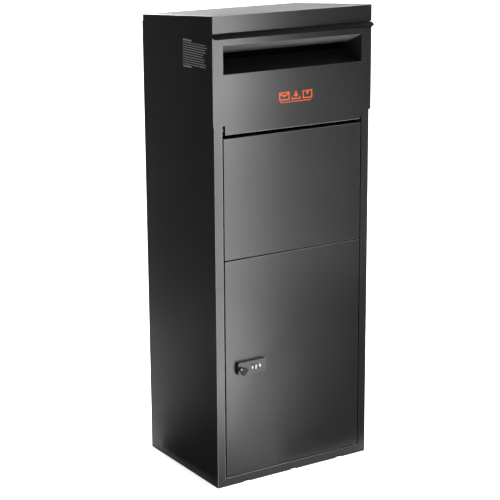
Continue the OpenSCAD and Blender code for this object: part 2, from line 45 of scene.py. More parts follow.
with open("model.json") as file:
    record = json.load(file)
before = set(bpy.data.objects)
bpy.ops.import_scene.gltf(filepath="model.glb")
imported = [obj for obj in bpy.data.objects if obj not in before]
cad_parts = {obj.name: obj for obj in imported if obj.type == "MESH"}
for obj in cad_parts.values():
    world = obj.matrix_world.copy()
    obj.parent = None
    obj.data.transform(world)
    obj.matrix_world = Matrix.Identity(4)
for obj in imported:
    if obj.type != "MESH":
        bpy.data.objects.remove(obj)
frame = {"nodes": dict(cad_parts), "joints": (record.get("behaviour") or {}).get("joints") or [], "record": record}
CAD = frame["nodes"]
BODY_OF = {n: body for body, nodes in frame["record"]["behaviour"]["bodies"].items() for n in nodes}
JOINT = {j["name"]: j for j in frame["joints"]}
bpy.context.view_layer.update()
MM = 0.001
WELD = 0.002 * MM  # points closer together than this are one point
FLAT = math.radians(0.6)  # faces that meet at less than this are one face
NEAR = math.cos(math.radians(50))  # faces at a corner that differ by less than this turn into each other
ALIKE = math.cos(math.radians(22))  # flat faces that differ by less than this are shaded as one
SAME = math.cos(math.radians(0.5))  # normals that differ by less than this are the same
HIGHLIT_FACING = 0.65  # how squarely a part of a round has to face the front or the top to get a painted highlight
ROUND = 0.001  # the mark of a round that gets no painted highlight
SHOWN_DIGITS = (6, 0, 8)  # the digit at the front of each number wheel
SIGN_GRID = 88  # the delivery signs are drawn on a grid this many units wide
MIX_A, MIX_B, MIXED = 6, 7, 2  # the colour sockets of a mix node, into it and out of it


class DropBoxSizes(bpy.types.PropertyGroup):
    """Sizes of the details that are added to the frame, in metres"""

    fold_radius: FloatProperty(
        name="Fold radius", description="Outside radius of the folds in the sheet steel",
        default=0.0016, min=0.0002, unit="LENGTH")
    edge_radius: FloatProperty(
        name="Edge radius", description="Rounding that paint gives to a cut sheet edge",
        default=0.00035, min=0.0001, unit="LENGTH")
    mark_width: FloatProperty(
        name="Mark width", description="Width of the printed delivery signs on the hopper",
        default=0.088, min=0.02, unit="LENGTH")
    mark_rise: FloatProperty(
        name="Mark rise", description="Height of the signs' middle above the bottom of the hopper front",
        default=0.049, min=0.0, unit="LENGTH")
    label_width: FloatProperty(
        name="Label width", description="Width of the sticker on the left side",
        default=0.116, min=0.02, unit="LENGTH")
    label_height: FloatProperty(
        name="Label height", description="Height of the sticker on the left side",
        default=0.070, min=0.02, unit="LENGTH")
    digit_height: FloatProperty(
        name="Digit height", description="Height of the digits on the number wheels",
        default=0.0056, min=0.002, unit="LENGTH")
    sheet_wave: FloatProperty(
        name="Sheet wave", description="Distance between the faint waves in the flat sheet",
        default=0.16, min=0.02, unit="LENGTH")


class DropBoxColours(bpy.types.PropertyGroup):
    """Colours of the finishes, as sRGB hex"""

    coat: StringProperty(name="Powder coat", description="Colour of the satin coat", default="#202021")
    # Painted highlight: the lighter grey that is painted on the rounds facing the front or the top.
    coat_edge: StringProperty(
        name="Coat edge", description="Colour of the coat where it is thin on an edge", default="#9a9a9c")
    zinc: StringProperty(name="Zinc", description="Colour of the plated hardware", default="#b9bcc0")
    # Painted shade: this dark plating goes only on the pins in the front gaps, so that they stay as dark as the
    # gaps.
    black_zinc: StringProperty(
        name="Black zinc", description="Colour of the plated pivot pins", default="#3a3b3d")
    # Painted shade: this near-black goes on the rails in the gaps and inside the slot, where only shade falls; the
    # grip strip is the same near-black.
    lip: StringProperty(
        name="Matt coat", description="Colour of the grip strip, the slot's slide and the rails in the gaps",
        default="#09090a")
    # Painted sheen: the hood above the slot is painted this lighter grey in place of the light that its underside
    # catches.
    hood: StringProperty(
        name="Slot hood", description="Colour of the rubbed coat above the slot", default="#48484a")
    nylon: StringProperty(name="Nylon", description="Colour of the bushes and the washer", default="#1d1d1e")
    rubber: StringProperty(name="Rubber", description="Colour of the mat and the buffers", default="#1b1b1c")
    lock: StringProperty(name="Lock case", description="Colour of the cast lock case", default="#36373a")
    knob: StringProperty(name="Thumb-turn", description="Colour of the moulded thumb-turn", default="#0d0d0e")
    digit: StringProperty(name="Digits", description="Colour of the digits' paint fill", default="#f4f4f0")
    mark: StringProperty(name="Delivery signs", description="Colour of the printed signs", default="#b04708")
    label: StringProperty(name="Label", description="Colour of the side sticker", default="#1d1d1e")
    label_ink: StringProperty(
        name="Label ink", description="Colour of the sticker's ruled lines", default="#d2d2d2")
    floor: StringProperty(name="Floor", description="Colour of the studio floor", default="#f6f6f6")


def sizes():
    """The sizes of the added details, as set in the scene."""
    return bpy.context.scene.drop_box_sizes


def colours():
    """The colours of the finishes, as set in the scene."""
    return bpy.context.scene.drop_box_colours


# ---- Materials ----


def linear(hex_colour):
    """An sRGB hex colour as the linear RGBA that a shader wants."""
    parts = [int(hex_colour[i:i + 2], 16) / 255 for i in (1, 3, 5)]
    return [c / 12.92 if c <= 0.04045 else ((c + 0.055) / 1.055) ** 2.4 for c in parts] + [1.0]


def shade(colour, amount):
    """A linear colour made darker or lighter by that amount."""
    return [c * amount for c in colour[:3]] + [1.0]


def add_node(tree, kind, settings=None, links=None, inputs=None):
    """Adds one node with its settings, its input values and the links into it."""
    made = tree.nodes.new(kind)
    for key, value in (settings or {}).items():
        setattr(made, key, value)
    for key, value in (inputs or {}).items():
        made.inputs[key].default_value = value
    for key, source in (links or {}).items():
        tree.links.new(source, made.inputs[key])
    return made


def new_material(name, principled):
    """A material with one Principled shader, whose constant values are set on its own sockets."""
    material = bpy.data.materials.new(name)
    material.use_nodes = True
    tree = material.node_tree
    tree.nodes.clear()
    shader = add_node(tree, "ShaderNodeBsdfPrincipled", inputs=principled)
    add_node(tree, "ShaderNodeOutputMaterial", links={"Surface": shader.outputs["BSDF"]})
    return material, tree, shader


def surface(name, constants, tint, gloss, relief=(), thin=None):
    """A material whose colour, roughness and relief vary in soft grains of a real size, fixed to the piece.

    The tint is a grain size in metres, its detail, a linear colour and the two shades of it that are
    mixed. The gloss is a grain size, its detail and two roughnesses. The relief is a list of layers from
    the lowest up, each a grain size, its detail and a height in metres. Where the mesh marks a painted
    highlight on a round, the colour turns to the lighter one that is given for it.
    """
    material, tree, shader = new_material(name, constants)
    point = add_node(tree, "ShaderNodeTexCoord").outputs["Object"]
    tint_grain, gloss_grain, *relief_grains = [
        add_node(tree, "ShaderNodeTexNoise", links={"Vector": point},
                 inputs={"Scale": 1 / size, "Detail": detail}).outputs["Fac"]
        for size, detail, *_ in (tint, gloss, *relief)]
    colour, darker, lighter = tint[2:]
    coat = add_node(
        tree, "ShaderNodeMix", {"data_type": "RGBA"}, {"Factor": tint_grain},
        {MIX_A: shade(colour, darker), MIX_B: shade(colour, lighter)}).outputs[MIXED]
    # Painted highlight: where the mesh marks a round that faces the front or the top, the colour turns lighter.
    if thin:
        highlight_mask = add_node(tree, "ShaderNodeAttribute", {"attribute_name": "painted_edge_highlight"}).outputs["Fac"]
        coat = add_node(
            tree, "ShaderNodeMix", {"data_type": "RGBA"}, {"Factor": highlight_mask, MIX_A: coat},
            {MIX_B: thin}).outputs[MIXED]
    tree.links.new(coat, shader.inputs["Base Color"])
    # Soft noise keeps between about 0.3 and 0.7, which is spread over the two roughnesses.
    smooth, rough = gloss[2:]
    spread = add_node(
        tree, "ShaderNodeMapRange", links={"Value": gloss_grain},
        inputs={"From Min": 0.3, "From Max": 0.7, "To Min": smooth, "To Max": rough})
    tree.links.new(spread.outputs["Result"], shader.inputs["Roughness"])
    below = {}
    for grain, (_, _, height) in zip(relief_grains, relief):
        raised = add_node(
            tree, "ShaderNodeBump", links={"Height": grain, **below},
            inputs={"Strength": 1.0, "Distance": height})
        below = {"Normal": raised.outputs["Normal"]}
    if below:
        tree.links.new(below["Normal"], shader.inputs["Normal"])
    return material


def powder_coated_steel():
    """Satin polyester powder coat, sprayed and baked: an even dark grey with a fine orange-peel skin."""
    # The coat's colour and gloss drift a little from one patch to the next.
    patch = (60 * MM, 3.0)
    # Pressed sheet is never quite flat, which bends its reflections by a very small amount. Orange
    # peel is about 1 mm across, and is drawn at 2 mm so that it shows as a faint grain.
    wave, peel = (sizes().sheet_wave, 1.0, 0.12 * MM), (2 * MM, 2.0, 0.03 * MM)
    # Its rounds that face the front or the top are painted lighter, a painted highlight.
    return surface(
        "powder_coated_steel", {"IOR": 1.52}, (*patch, linear(colours().coat), 0.95, 1.05),
        (*patch, 0.32, 0.345), [wave, peel], thin=linear(colours().coat_edge))


def zinc_plated_steel():
    """Bright zinc plating on turned and pressed hardware: a pale metal with a blurred, cloudy shine."""
    cloud = (4 * MM, 3.0)
    return surface(
        "zinc_plated_steel", {"Metallic": 1.0}, (*cloud, linear(colours().zinc), 0.82, 1.0),
        (*cloud, 0.26, 0.42), [(1 * MM, 2.0, 0.01 * MM)])


def black_zinc_plating():
    """Black zinc plating, put only on the pins in the front gaps as painted shade so that they stay as dark as the
    gaps: a dark metal with a dull, slightly mottled shine.
    """
    cloud = (3 * MM, 3.0)
    return surface(
        "black_zinc_gap_shade_steel", {"Metallic": 1.0}, (*cloud, linear(colours().black_zinc), 0.7, 1.0),
        (*cloud, 0.4, 0.55))


def moulded_nylon():
    """Black glass-filled nylon, moulded: dark and waxy, with a fine speckle."""
    return surface(
        "moulded_nylon", {"IOR": 1.53}, (5 * MM, 2.0, linear(colours().nylon), 0.9, 1.0),
        (2 * MM, 2.0, 0.38, 0.5))


def ribbed_rubber():
    """Black EPDM sheet: matt and a little dusty, with a moulded rib every 6 mm that catches a dull light."""
    material = surface(
        "ribbed_rubber", {"IOR": 1.5}, (30 * MM, 4.0, linear(colours().rubber), 1.0, 1.6),
        (8 * MM, 2.0, 0.7, 0.85))
    tree = material.node_tree
    point = add_node(tree, "ShaderNodeTexCoord").outputs["Object"]
    ribs = add_node(
        tree, "ShaderNodeTexWave", {"bands_direction": "X"}, {"Vector": point},
        {"Scale": math.pi / 10 / (6 * MM)})
    raised = add_node(
        tree, "ShaderNodeBump", links={"Height": ribs.outputs["Fac"]},
        inputs={"Strength": 1.0, "Distance": 0.4 * MM})
    tree.links.new(raised.outputs["Normal"], tree.nodes["Principled BSDF"].inputs["Normal"])
    return material


def cast_lock_case():
    """Die-cast zinc alloy under dark satin paint: a slightly grainy skin with soft highlights."""
    grain = (0.8 * MM, 3.0)
    # Its rounds that face the front or the top are painted lighter, a painted highlight.
    return surface(
        "painted_zinc_casting", {"IOR": 1.5}, (*grain, linear(colours().lock), 0.85, 1.15),
        (*grain, 0.38, 0.5), [(*grain, 0.03 * MM)], thin=linear(colours().coat_edge))


def moulded_abs():
    """ABS, injection moulded with a spark-eroded texture: black, with a close matt grain."""
    grain = (0.6 * MM, 2.0)
    return surface(
        "moulded_abs", {"IOR": 1.54, "Specular IOR Level": 0.2},
        (*grain, linear(colours().knob), 0.85, 1.15), (*grain, 0.36, 0.48), [(*grain, 0.02 * MM)])


def printed_ink(name, colour, grain_size, rough):
    """Screen-printed ink: flat colour whose cover varies a little with the mesh it was pressed through."""
    cover = (grain_size, 2.0)
    return surface(
        name, {"IOR": 1.5}, (*cover, linear(colour), 0.9, 1.0), (*cover, rough - 0.05, rough + 0.05))


def paper_floor():
    """Seamless studio paper, lit from behind: pale and matt, with a very faint tooth and hardly a shadow."""
    material = surface(
        "seamless_paper", {"IOR": 1.4, "Specular IOR Level": 0.2},
        (0.4, 2.0, linear(colours().floor), 0.985, 1.0), (3 * MM, 2.0, 0.8, 0.9))
    # The paper glows in its own colour, and only for the camera, so that it lights nothing.
    tree = material.node_tree
    shader = tree.nodes["Principled BSDF"]
    seen = add_node(tree, "ShaderNodeLightPath").outputs["Is Camera Ray"]
    glow = add_node(tree, "ShaderNodeMath", {"operation": "MULTIPLY"}, {0: seen}, {1: 0.85})
    tree.links.new(shader.inputs["Base Color"].links[0].from_socket, shader.inputs["Emission Color"])
    tree.links.new(glow.outputs["Value"], shader.inputs["Emission Strength"])
    return material


def matt_powder_coat():
    """A flat near-black matt coat: painted shade on the rails in the gaps and on the slot's slide, tray and back
    guard, where only shade falls; the grip strip is made the same near-black.
    """
    grain = (1.5 * MM, 2.0)
    return surface(
        "near_black_matt_shade_coat", {"IOR": 1.45, "Specular IOR Level": 0.1},
        (*grain, linear(colours().lip), 0.8, 1.2), (*grain, 0.72, 0.84), [(*grain, 0.04 * MM)])


def burnished_hood_coat():
    """Powder coat on the slot's hood, painted greyer and lighter than the panels as a painted sheen for the light
    its underside catches, with a broad soft shine.
    """
    sheen_patch = (20 * MM, 3.0)
    return surface(
        "hood_powder_coat_painted_sheen", {"IOR": 1.5, "Specular IOR Level": 0.6},
        (*sheen_patch, linear(colours().hood), 0.9, 1.1), (*sheen_patch, 0.48, 0.56), [(2 * MM, 2.0, 0.04 * MM)])


MAKERS = {
    "hood": burnished_hood_coat,
    "lip": matt_powder_coat,
    "black_zinc": black_zinc_plating,
    "powder_coat": powder_coated_steel,
    "zinc": zinc_plated_steel,
    "nylon": moulded_nylon,
    "rubber": ribbed_rubber,
    "lock_plastic": cast_lock_case,
    "knob": moulded_abs,
}
MADE = {}


def finish_of(key):
    """The finish with that key, made once."""
    if key not in MADE:
        MADE[key] = MAKERS[key]()
    return MADE[key]


def paint(piece, material):
    """Gives the piece that one material."""
    piece.data.materials.clear()
    piece.data.materials.append(material)


# ---- Mesh tools ----


def slot_of(node):
    """The record's material slot of a CAD node."""
    return next(s["material_slot"] for s in frame["record"]["subparts"] if s["node"] == node)


def put(name, data):
    """A new object in the scene, with that mesh, curve, light or camera."""
    made = bpy.data.objects.new(name, data)
    bpy.context.scene.collection.objects.link(made)
    return made


def new_piece(name, mesh, body):
    """Puts a finished mesh in the scene as a piece that rides on a body."""
    piece = put(name, mesh)
    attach(piece, body)
    return piece


def clean_copy(node):
    """A CAD node's mesh as whole flat faces, without the triangles' seams."""
    bm = bmesh.new()
    bm.from_mesh(CAD[node].data)
    bmesh.ops.remove_doubles(bm, verts=bm.verts, dist=WELD)
    bmesh.ops.dissolve_limit(
        bm, angle_limit=FLAT, verts=bm.verts, edges=bm.edges, use_dissolve_boundaries=False)
    return bm


def face_width(face):
    """Roughly how wide a flat face is across its narrow way."""
    around = sum(e.calc_length() for e in face.edges)
    return 2 * face.calc_area() / around


def is_corner(edge, angle):
    """Whether two faces meet at this edge, at more than that many degrees."""
    return len(edge.link_faces) == 2 and edge.calc_face_angle(0) > math.radians(angle)


def round_edges(bm, edges, radius, segments, mark):
    """Rounds these edges, and marks the part of each round that faces the front or top for a painted highlight as
    strong as the mark.
    """
    if not edges:
        return
    made = bmesh.ops.bevel(
        bm, geom=edges, offset=radius, offset_type="OFFSET", segments=segments, profile=0.5,
        affect="EDGES", clamp_overlap=True, material=-1, miter_outer="SHARP", miter_inner="SHARP")
    layer = bm.faces.layers.float["painted_edge_highlight"]
    for face in made["faces"]:
        face.normal_update()
        # Painted highlight: only the parts of a round that face the front or the top turn lighter.
        thin = mark and max(-face.normal.y, face.normal.z) > HIGHLIT_FACING
        face[layer] = mark if thin else ROUND


def soften(bm, fold, edge, wide, angle, shortest, fold_highlight, cut_highlight):
    """Rounds the folds between wide faces, and softens the cut edges that are long enough, each with its strength
    of painted highlight.
    """
    bm.faces.layers.float.new("painted_edge_highlight")
    folds = [e for e in bm.edges if is_corner(e, angle) and e.is_convex
             and min(face_width(f) for f in e.link_faces) > wide]
    if fold:
        round_edges(bm, folds, fold, 3, fold_highlight)
    if edge:
        cuts = [e for e in bm.edges if is_corner(e, 50) and e.is_convex and e.calc_length() > shortest]
        round_edges(bm, cuts, edge, 1, cut_highlight)


def corner_normal(face, vert, layer):
    """The normal a face shows at one corner: flats stay flat and rounds turn from one flat to the next."""
    near = [f for f in vert.link_faces if f.normal.dot(face.normal) > NEAR]
    flats = [f for f in near if not f[layer]]
    if face[layer] and not flats:
        return sum((f.normal * f.calc_area() for f in near), Vector()).normalized()
    lead = face if not face[layer] else max(flats, key=lambda f: f.normal.dot(face.normal))
    alike = [f for f in flats if f.normal.dot(lead.normal) > ALIKE]
    return sum((f.normal * f.calc_area() ** 2 for f in alike), Vector()).normalized()


def is_split(edge, normals):
    """Whether the two faces beside an edge show different normals at either of its ends."""
    if len(edge.link_loops) != 2:
        return True
    one, two = edge.link_loops
    ends = ((one, two.link_loop_next), (one.link_loop_next, two))
    if one.vert == two.vert:
        ends = ((one, two), (one.link_loop_next, two.link_loop_next))
    return any(normals[a].dot(normals[b]) < SAME for a, b in ends)


def to_mesh(bm, name):
    """Ends a bmesh as a mesh with smooth rounds and crisp flats, and no face without an area."""
    bmesh.ops.dissolve_degenerate(bm, dist=WELD, edges=bm.edges)
    bmesh.ops.recalc_face_normals(bm, faces=bm.faces)
    bm.normal_update()
    layer = bm.faces.layers.float.get("painted_edge_highlight") or bm.faces.layers.float.new("painted_edge_highlight")
    normals = {loop: corner_normal(face, loop.vert, layer) for face in bm.faces for loop in face.loops}
    for edge in bm.edges:
        edge.smooth = not is_split(edge, normals)
    mesh = bpy.data.meshes.new(name)
    bm.to_mesh(mesh)
    bm.free()
    for poly in mesh.polygons:
        poly.use_smooth = True
    mesh.normals_split_custom_set(list(normals.values()))
    return mesh


def flat_mesh(piece):
    """A new mesh of an object with its modifiers or its text worked out."""
    bpy.context.view_layer.update()
    return bpy.data.meshes.new_from_object(piece.evaluated_get(bpy.context.evaluated_depsgraph_get()))


def dress(node, name=None, finish=None, fold=None, edge=None, wide=4 * MM, highlight_level=0.55):
    """Replaces a CAD node by its softened copy, in the finish of its slot."""
    bm = clean_copy(node)
    fold = sizes().fold_radius if fold is None else fold
    edge = sizes().edge_radius if edge is None else edge
    # The rounds that face the front or the top get a painted highlight of this strength.
    soften(bm, fold, edge, wide, angle=40, shortest=edge, fold_highlight=highlight_level, cut_highlight=highlight_level)
    mesh = to_mesh(bm, name or node + "_skin")
    piece = new_piece(mesh.name, mesh, BODY_OF[node])
    paint(piece, finish_of(finish or slot_of(node)))
    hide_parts(node)


def plate(bm, outline, origin, across, up, thick):
    """Adds a thin plate: an outline of (across, up) points, raised along across x up."""
    out = across.cross(up).normalized() * thick
    low = [bm.verts.new(origin + across * x + up * y) for x, y in outline]
    high = [bm.verts.new(v.co + out) for v in low]
    bm.faces.new(list(reversed(low)))
    bm.faces.new(high)
    for i in range(len(low)):
        j = (i + 1) % len(low)
        bm.faces.new([low[i], low[j], high[j], high[i]])


def ring_plate(bm, outer, inner, origin, across, up, thick):
    """Adds a thin plate with a hole, between two outlines with the same number of points."""
    out = across.cross(up).normalized() * thick
    loops = []
    for outline in (outer, inner):
        low = [bm.verts.new(origin + across * x + up * y) for x, y in outline]
        loops.append((low, [bm.verts.new(v.co + out) for v in low]))
    (ol, oh), (il, ih) = loops
    for i in range(len(outer)):
        j = (i + 1) % len(outer)
        bm.faces.new([ol[j], ol[i], il[i], il[j]])
        bm.faces.new([oh[i], oh[j], ih[j], ih[i]])
        bm.faces.new([ol[i], ol[j], oh[j], oh[i]])
        bm.faces.new([il[j], il[i], ih[i], ih[j]])


def rectangle(x0, x1, y0, y1):
    """A rectangle's outline, drawn anticlockwise."""
    return [(x0, y0), (x1, y0), (x1, y1), (x0, y1)]


def round_rectangle(x0, x1, y0, y1, radius, steps=4):
    """A rectangle's outline with round corners, drawn anticlockwise."""
    points = []
    corners = ((x1 - radius, y0 + radius, -90), (x1 - radius, y1 - radius, 0),
               (x0 + radius, y1 - radius, 90), (x0 + radius, y0 + radius, 180))
    for cx, cy, start in corners:
        for i in range(steps + 1):
            a = math.radians(start + 90 * i / steps)
            points.append((cx + radius * math.cos(a), cy + radius * math.sin(a)))
    return points


# ---- Operators ----


class DROPBOX_OT_cabinet(bpy.types.Operator):
    """Fold and coat the cabinet's sheet shell, so that its corner reads as one bent piece of steel"""

    bl_idname = "dropbox.cabinet"
    bl_label = "Cabinet shell"

    def execute(self, context):
        shell = ("front_frame", "left_side_panel", "right_side_panel")
        bm = self.welded(shell)
        # The shell's rounds that face the front or the top get a painted highlight.
        soften(bm, sizes().fold_radius, sizes().edge_radius, wide=6 * MM, angle=60,
               shortest=1 * MM, fold_highlight=0.8, cut_highlight=0.4)
        piece = new_piece("cabinet_shell", to_mesh(bm, "cabinet_shell"), "cabinet")
        paint(piece, finish_of("powder_coat"))
        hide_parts(*shell)
        for node in ("rear_panel", "base_pan", "anti_reach_baffle", "bottom_hinge_bracket", "rear_rivets"):
            paint(CAD[node], finish_of("powder_coat"))
        for node in ("header_rail", "mid_rail", "door_stop_strips", "top_hinge_bracket"):
            paint(CAD[node], finish_of("lip"))  # painted shade: matt near-black, since they are what the gaps show
        return {"FINISHED"}

    def welded(self, nodes):
        """The nodes' sheets as one closed sheet."""
        first, *others = [self.loose_copy(node) for node in nodes]
        for other in others:
            weld = first.modifiers.new("weld", "BOOLEAN")
            weld.operation, weld.solver, weld.object = "UNION", "MANIFOLD", other
        mesh = flat_mesh(first)
        bm = bmesh.new()
        bm.from_mesh(mesh)
        for used in (mesh, first.data, *[other.data for other in others]):
            bpy.data.meshes.remove(used)
        bmesh.ops.remove_doubles(bm, verts=bm.verts, dist=WELD)
        bmesh.ops.dissolve_limit(bm, angle_limit=FLAT, verts=bm.verts, edges=bm.edges)
        if any(not e.is_manifold for e in bm.edges):
            raise RuntimeError("the cabinet shell did not weld into one closed sheet")
        return bm

    def loose_copy(self, node):
        """A working copy of a CAD node, which is thrown away after the weld."""
        bm = clean_copy(node)
        mesh = bpy.data.meshes.new("loose_" + node)
        bm.to_mesh(mesh)
        bm.free()
        return put(mesh.name, mesh)


class DROPBOX_OT_roof(bpy.types.Operator):
    """Round the folds of the sloping roof"""

    bl_idname = "dropbox.roof"
    bl_label = "Roof"

    def execute(self, context):
        # The roof's rounds that face the front or the top get a painted highlight.
        dress("roof_lid", "roof_skin", highlight_level=0.8)
        return {"FINISHED"}


class DROPBOX_OT_fixed_panel(bpy.types.Operator):
    """Round the folds of the fixed middle panel"""

    bl_idname = "dropbox.fixed_panel"
    bl_label = "Fixed panel"

    def execute(self, context):
        # The panel's rounds that face the front or the top get a painted highlight.
        dress("centre_panel", "fixed_panel_skin", fold=0.8 * MM, highlight_level=0.35)
        return {"FINISHED"}


class DROPBOX_OT_hopper(bpy.types.Operator):
    """Coat the tilting hopper, with its slot plates, wings, tray and pull lip"""

    bl_idname = "dropbox.hopper"
    bl_label = "Hopper"

    def execute(self, context):
        # The hopper front's rounds that face the front or the top get a painted highlight.
        dress("hopper_front", "hopper_front_skin", highlight_level=0.8)
        dress("pull_lip", "pull_lip_skin", finish="lip", fold=0.5 * MM, edge=0.15 * MM, wide=2.5 * MM, highlight_level=0)
        # Inside the slot: the slide, tray and back guard get the near-black, painted shade, and the hood a lighter
        # grey, painted sheen.
        inside = {"slot_hood": "hood", "slot_sill": "lip", "hopper_tray": "lip", "hopper_back_guard": "lip"}
        for node, finish in inside.items():
            dress(node, finish=finish, edge=0.25 * MM, fold=0)
        for node in ("hopper_left_wing", "hopper_right_wing"):
            dress(node, edge=0.2 * MM, fold=0)
        return {"FINISHED"}


class DROPBOX_OT_door(bpy.types.Operator):
    """Round the folds of the collection door"""

    bl_idname = "dropbox.door"
    bl_label = "Collection door"

    def execute(self, context):
        # The door's rounds that face the front or the top get a painted highlight.
        dress("door_panel", "door_skin", fold=0.8 * MM, highlight_level=0.35)
        dress("door_stiffener", edge=0.25 * MM, fold=0)
        return {"FINISHED"}


class DROPBOX_OT_lock(bpy.types.Operator):
    """Soften and paint the combination lock's case and thumb-turn"""

    bl_idname = "dropbox.lock"
    bl_label = "Lock"

    def execute(self, context):
        # The case's rounds that face the front or the top get a painted highlight.
        dress("lock_body", "lock_case_skin", fold=0.4 * MM, edge=0.15 * MM, wide=6 * MM, highlight_level=0.35)
        dress("thumb_turn", "thumb_turn_skin", finish="knob",
              fold=0.5 * MM, edge=0.2 * MM, wide=2 * MM, highlight_level=0)
        self.pivot_cap()
        return {"FINISHED"}

    def pivot_cap(self):
        """A domed steel cap in the middle of the thumb-turn."""
        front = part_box("thumb_turn")[0].y
        pivot = Vector(JOINT["lock_turn"]["pos_m"])
        bm = bmesh.new()
        rise, radius, steps, rings = 0.4 * MM, 1.6 * MM, 24, 4
        loops = []
        for k in range(rings):
            a = k / rings * math.pi / 2
            r, out = radius * math.cos(a), rise * math.sin(a)
            loops.append([bm.verts.new((
                pivot.x + r * math.cos(2 * math.pi * i / steps), front - out,
                pivot.z + r * math.sin(2 * math.pi * i / steps))) for i in range(steps)])
        tip = bm.verts.new((pivot.x, front - rise, pivot.z))
        for i in range(steps):
            j = (i + 1) % steps
            for a, b in zip(loops, loops[1:]):
                bm.faces.new([a[i], a[j], b[j], b[i]])
            bm.faces.new([loops[-1][i], loops[-1][j], tip])
        bm.faces.new(loops[0])
        piece = new_piece("thumb_turn_cap", to_mesh(bm, "thumb_turn_cap"), "knob")
        paint(piece, finish_of("zinc"))


class DROPBOX_OT_number_wheels(bpy.types.Operator):
    """Mould the number wheels and lay a digit on each of their ten faces"""

    bl_idname = "dropbox.number_wheels"
    bl_label = "Number wheels"

    faces: IntProperty(name="Faces", description="Digits on each wheel", default=10, min=2, max=10)

    def execute(self, context):
        fill = printed_ink("digit_paint_fill", colours().digit, 0.5 * MM, 0.35)
        for wheel, shown in enumerate(SHOWN_DIGITS, start=1):
            node = f"number_wheel_{wheel}"
            dress(node, f"{node}_skin", finish="knob", fold=0, edge=0.25 * MM)
            self.digits(wheel, shown, fill)
        return {"FINISHED"}

    def digits(self, wheel, shown, fill):
        """Digits standing a little proud of one wheel, with the shown one at the front."""
        body = f"wheel_{wheel}"
        pivot = Vector(JOINT[f"{body}_spin"]["pos_m"])
        low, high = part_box(f"number_wheel_{wheel}")
        radius = (high.z - low.z) / 2
        bm = bmesh.new()
        for digit in range(self.faces):
            turn = math.radians((digit - shown) * 360 / self.faces)
            self.one_digit(bm, str(digit), pivot, radius, turn)
        name = f"{body}_digits"
        piece = new_piece(name, to_mesh(bm, name), body)
        paint(piece, fill)

    def one_digit(self, bm, text, pivot, radius, turn):
        """Bends one digit's flat outline round the wheel, from just inside it to just outside."""
        stretch, proud, sunk = 1.35, 0.06 * MM, 0.15 * MM
        curve = bpy.data.curves.new("digit", "FONT")
        curve.body = text
        curve.align_x, curve.align_y = "CENTER", "CENTER"
        curve.size = sizes().digit_height * 1.42  # the font's digits are 1 / 1.42 of its size in height
        curve.offset = 0.2 * MM  # this makes the strokes bolder
        curve.resolution_u = 3
        flat = flat_mesh(put("digit", curve))
        part = bmesh.new()
        part.from_mesh(flat)
        bmesh.ops.remove_doubles(part, verts=part.verts, dist=0.001 * MM)
        made = bmesh.ops.extrude_face_region(part, geom=part.faces[:])
        raised = {v for v in made["geom"] if isinstance(v, bmesh.types.BMVert)}
        for v in part.verts:
            a = v.co.y / radius + turn
            r = radius + (proud if v in raised else -sunk)
            v.co = Vector((pivot.x + v.co.x * stretch, pivot.y - r * math.cos(a), pivot.z + r * math.sin(a)))
        part.to_mesh(flat)
        part.free()
        bm.from_mesh(flat)
        bpy.data.curves.remove(curve)
        bpy.data.meshes.remove(flat)


class DROPBOX_OT_hardware(bpy.types.Operator):
    """Finish the plated, nylon and rubber hardware"""

    bl_idname = "dropbox.hardware"
    bl_label = "Hardware"

    def execute(self, context):
        in_the_gaps = ("hopper_pivot_pins", "pivot_clips", "hopper_stop_pins", "hinge_pins")
        for part in frame["record"]["subparts"]:
            if part["material_slot"] in ("zinc", "nylon", "rubber"):
                # Painted shade: the pins in the front gaps are made dark so that they stay as dark as the gaps.
                finish = "black_zinc" if part["node"] in in_the_gaps else part["material_slot"]
                paint(CAD[part["node"]], finish_of(finish))
        return {"FINISHED"}


